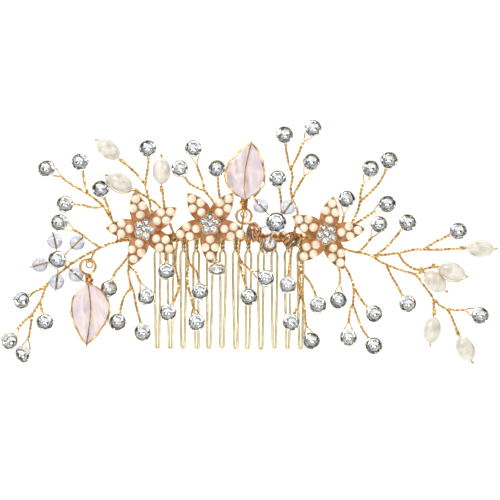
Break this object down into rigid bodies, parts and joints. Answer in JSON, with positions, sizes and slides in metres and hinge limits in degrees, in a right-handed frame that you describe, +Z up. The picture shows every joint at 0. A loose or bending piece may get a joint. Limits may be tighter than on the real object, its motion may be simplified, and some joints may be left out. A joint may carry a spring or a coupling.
{
  "type": "decorative hair comb",
  "caption": "Bridal hair comb of twisted gold wire with hairpin tines, enamelled flowers, leaf charms, pearls, crystal beads and set rhinestones.",
  "frame": {"origin": "middle of the spine, on its axis", "axes": "+X along the spine to the viewer's right, +Z up away from the tines' tips, and the decorated front faces -Y"},
  "size_m": [0.1474, 0.0104, 0.0725],
  "materials": {
    "tine_wire": "polished pale gold plate",
    "gold_wire": "polished champagne gold plate",
    "petal_enamel": "copper lacquer over pressed metal with gilt rims",
    "seed_pearl": "ivory pearl lustre",
    "rice_pearl": "freshwater nacre",
    "rhinestone": "foil-backed cut glass",
    "crystal": "cut glass",
    "leaf_enamel": "translucent pink enamel",
    "leaf_frame": "polished gilt",
    "setting_metal": "polished gilt"
  },
  "bodies": {
    "comb": {"comb_tines": "tine_wire", "comb_spine": "gold_wire", "binding_wire": "gold_wire", "flower_left_petals": "petal_enamel", "flower_left_pearls": "seed_pearl", "flower_left_centre": "setting_metal", "flower_left_stones": "rhinestone", "flower_middle_petals": "petal_enamel", "flower_middle_pearls": "seed_pearl", "flower_middle_centre": "setting_metal", "flower_middle_stones": "rhinestone", "flower_right_petals": "petal_enamel", "flower_right_pearls": "seed_pearl", "flower_right_centre": "setting_metal", "flower_right_stones": "rhinestone", "left_cluster_beads": "crystal", "left_cluster_wires": "gold_wire", "middle_cluster_beads": "crystal", "middle_cluster_wires": "gold_wire", "cluster_settings": "setting_metal", "cluster_stones": "rhinestone", "rice_pearl_wires": "gold_wire", "upper_left_stems": "gold_wire", "upper_left_settings": "setting_metal", "upper_left_stones": "rhinestone", "lower_left_stems": "gold_wire", "lower_left_settings": "setting_metal", "lower_left_stones": "rhinestone", "under_left_stems": "gold_wire", "under_left_settings": "setting_metal", "under_left_stones": "rhinestone", "top_left_stems": "gold_wire", "top_left_settings": "setting_metal", "top_left_stones": "rhinestone", "under_middle_stems": "gold_wire", "under_middle_settings": "setting_metal", "under_middle_stones": "rhinestone", "top_right_stems": "gold_wire", "top_right_settings": "setting_metal", "top_right_stones": "rhinestone", "under_right_stems": "gold_wire", "under_right_settings": "setting_metal", "under_right_stones": "rhinestone", "right_stems": "gold_wire", "right_settings": "setting_metal", "right_stones": "rhinestone"},
    "low_leaf": {"low_leaf_frame": "leaf_frame", "low_leaf_enamel": "leaf_enamel", "low_leaf_eye": "gold_wire"},
    "top_leaf": {"top_leaf_frame": "leaf_frame", "top_leaf_enamel": "leaf_enamel", "top_leaf_eye": "gold_wire"},
    "rice_pearl_1": {"rice_pearl_1": "rice_pearl"},
    "rice_pearl_2": {"rice_pearl_2": "rice_pearl"},
    "rice_pearl_3": {"rice_pearl_3": "rice_pearl"},
    "rice_pearl_4": {"rice_pearl_4": "rice_pearl"},
    "rice_pearl_5": {"rice_pearl_5": "rice_pearl"},
    "rice_pearl_6": {"rice_pearl_6": "rice_pearl"},
    "rice_pearl_7": {"rice_pearl_7": "rice_pearl"},
    "rice_pearl_8": {"rice_pearl_8": "rice_pearl"}
  },
  "joints": [
    {"name": "low_leaf_swing", "type": "hinge", "parent": "comb", "child": "low_leaf", "pos_m": [-0.0415, -0.007, -0.00706], "axis": [0, 1, 0], "range_deg": [-20, 20]},
    {"name": "top_leaf_swing", "type": "hinge", "parent": "comb", "child": "top_leaf", "pos_m": [0.0045, -0.0023, 0.00794], "axis": [0, 1, 0], "range_deg": [-8, 8]},
    {"name": "rice_pearl_1_spin", "type": "hinge", "parent": "comb", "child": "rice_pearl_1", "pos_m": [-0.0325, -0.0032, 0.0235], "axis": [-0.766, 0, 0.6428], "continuous": true},
    {"name": "rice_pearl_2_spin", "type": "hinge", "parent": "comb", "child": "rice_pearl_2", "pos_m": [-0.0285, -0.003, 0.0145], "axis": [-0.8829, 0, 0.4695], "continuous": true},
    {"name": "rice_pearl_3_spin", "type": "hinge", "parent": "comb", "child": "rice_pearl_3", "pos_m": [-0.02, -0.0032, 0.0155], "axis": [0, 0, 1], "continuous": true},
    {"name": "rice_pearl_4_spin", "type": "hinge", "parent": "comb", "child": "rice_pearl_4", "pos_m": [0.0705, -0.0032, -0.003], "axis": [0.9994, 0, -0.0349], "continuous": true},
    {"name": "rice_pearl_5_spin", "type": "hinge", "parent": "comb", "child": "rice_pearl_5", "pos_m": [0.062, -0.005, -0.0085], "axis": [0.9511, 0, -0.309], "continuous": true},
    {"name": "rice_pearl_6_spin", "type": "hinge", "parent": "comb", "child": "rice_pearl_6", "pos_m": [0.058, -0.0036, -0.01], "axis": [0.7431, 0, -0.6691], "continuous": true},
    {"name": "rice_pearl_7_spin", "type": "hinge", "parent": "comb", "child": "rice_pearl_7", "pos_m": [0.061, -0.0032, -0.023], "axis": [-0.1219, 0, -0.9925], "continuous": true},
    {"name": "rice_pearl_8_spin", "type": "hinge", "parent": "comb", "child": "rice_pearl_8", "pos_m": [0.0685, -0.0032, -0.029], "axis": [0.4384, 0, -0.8988], "continuous": true}
  ]
}
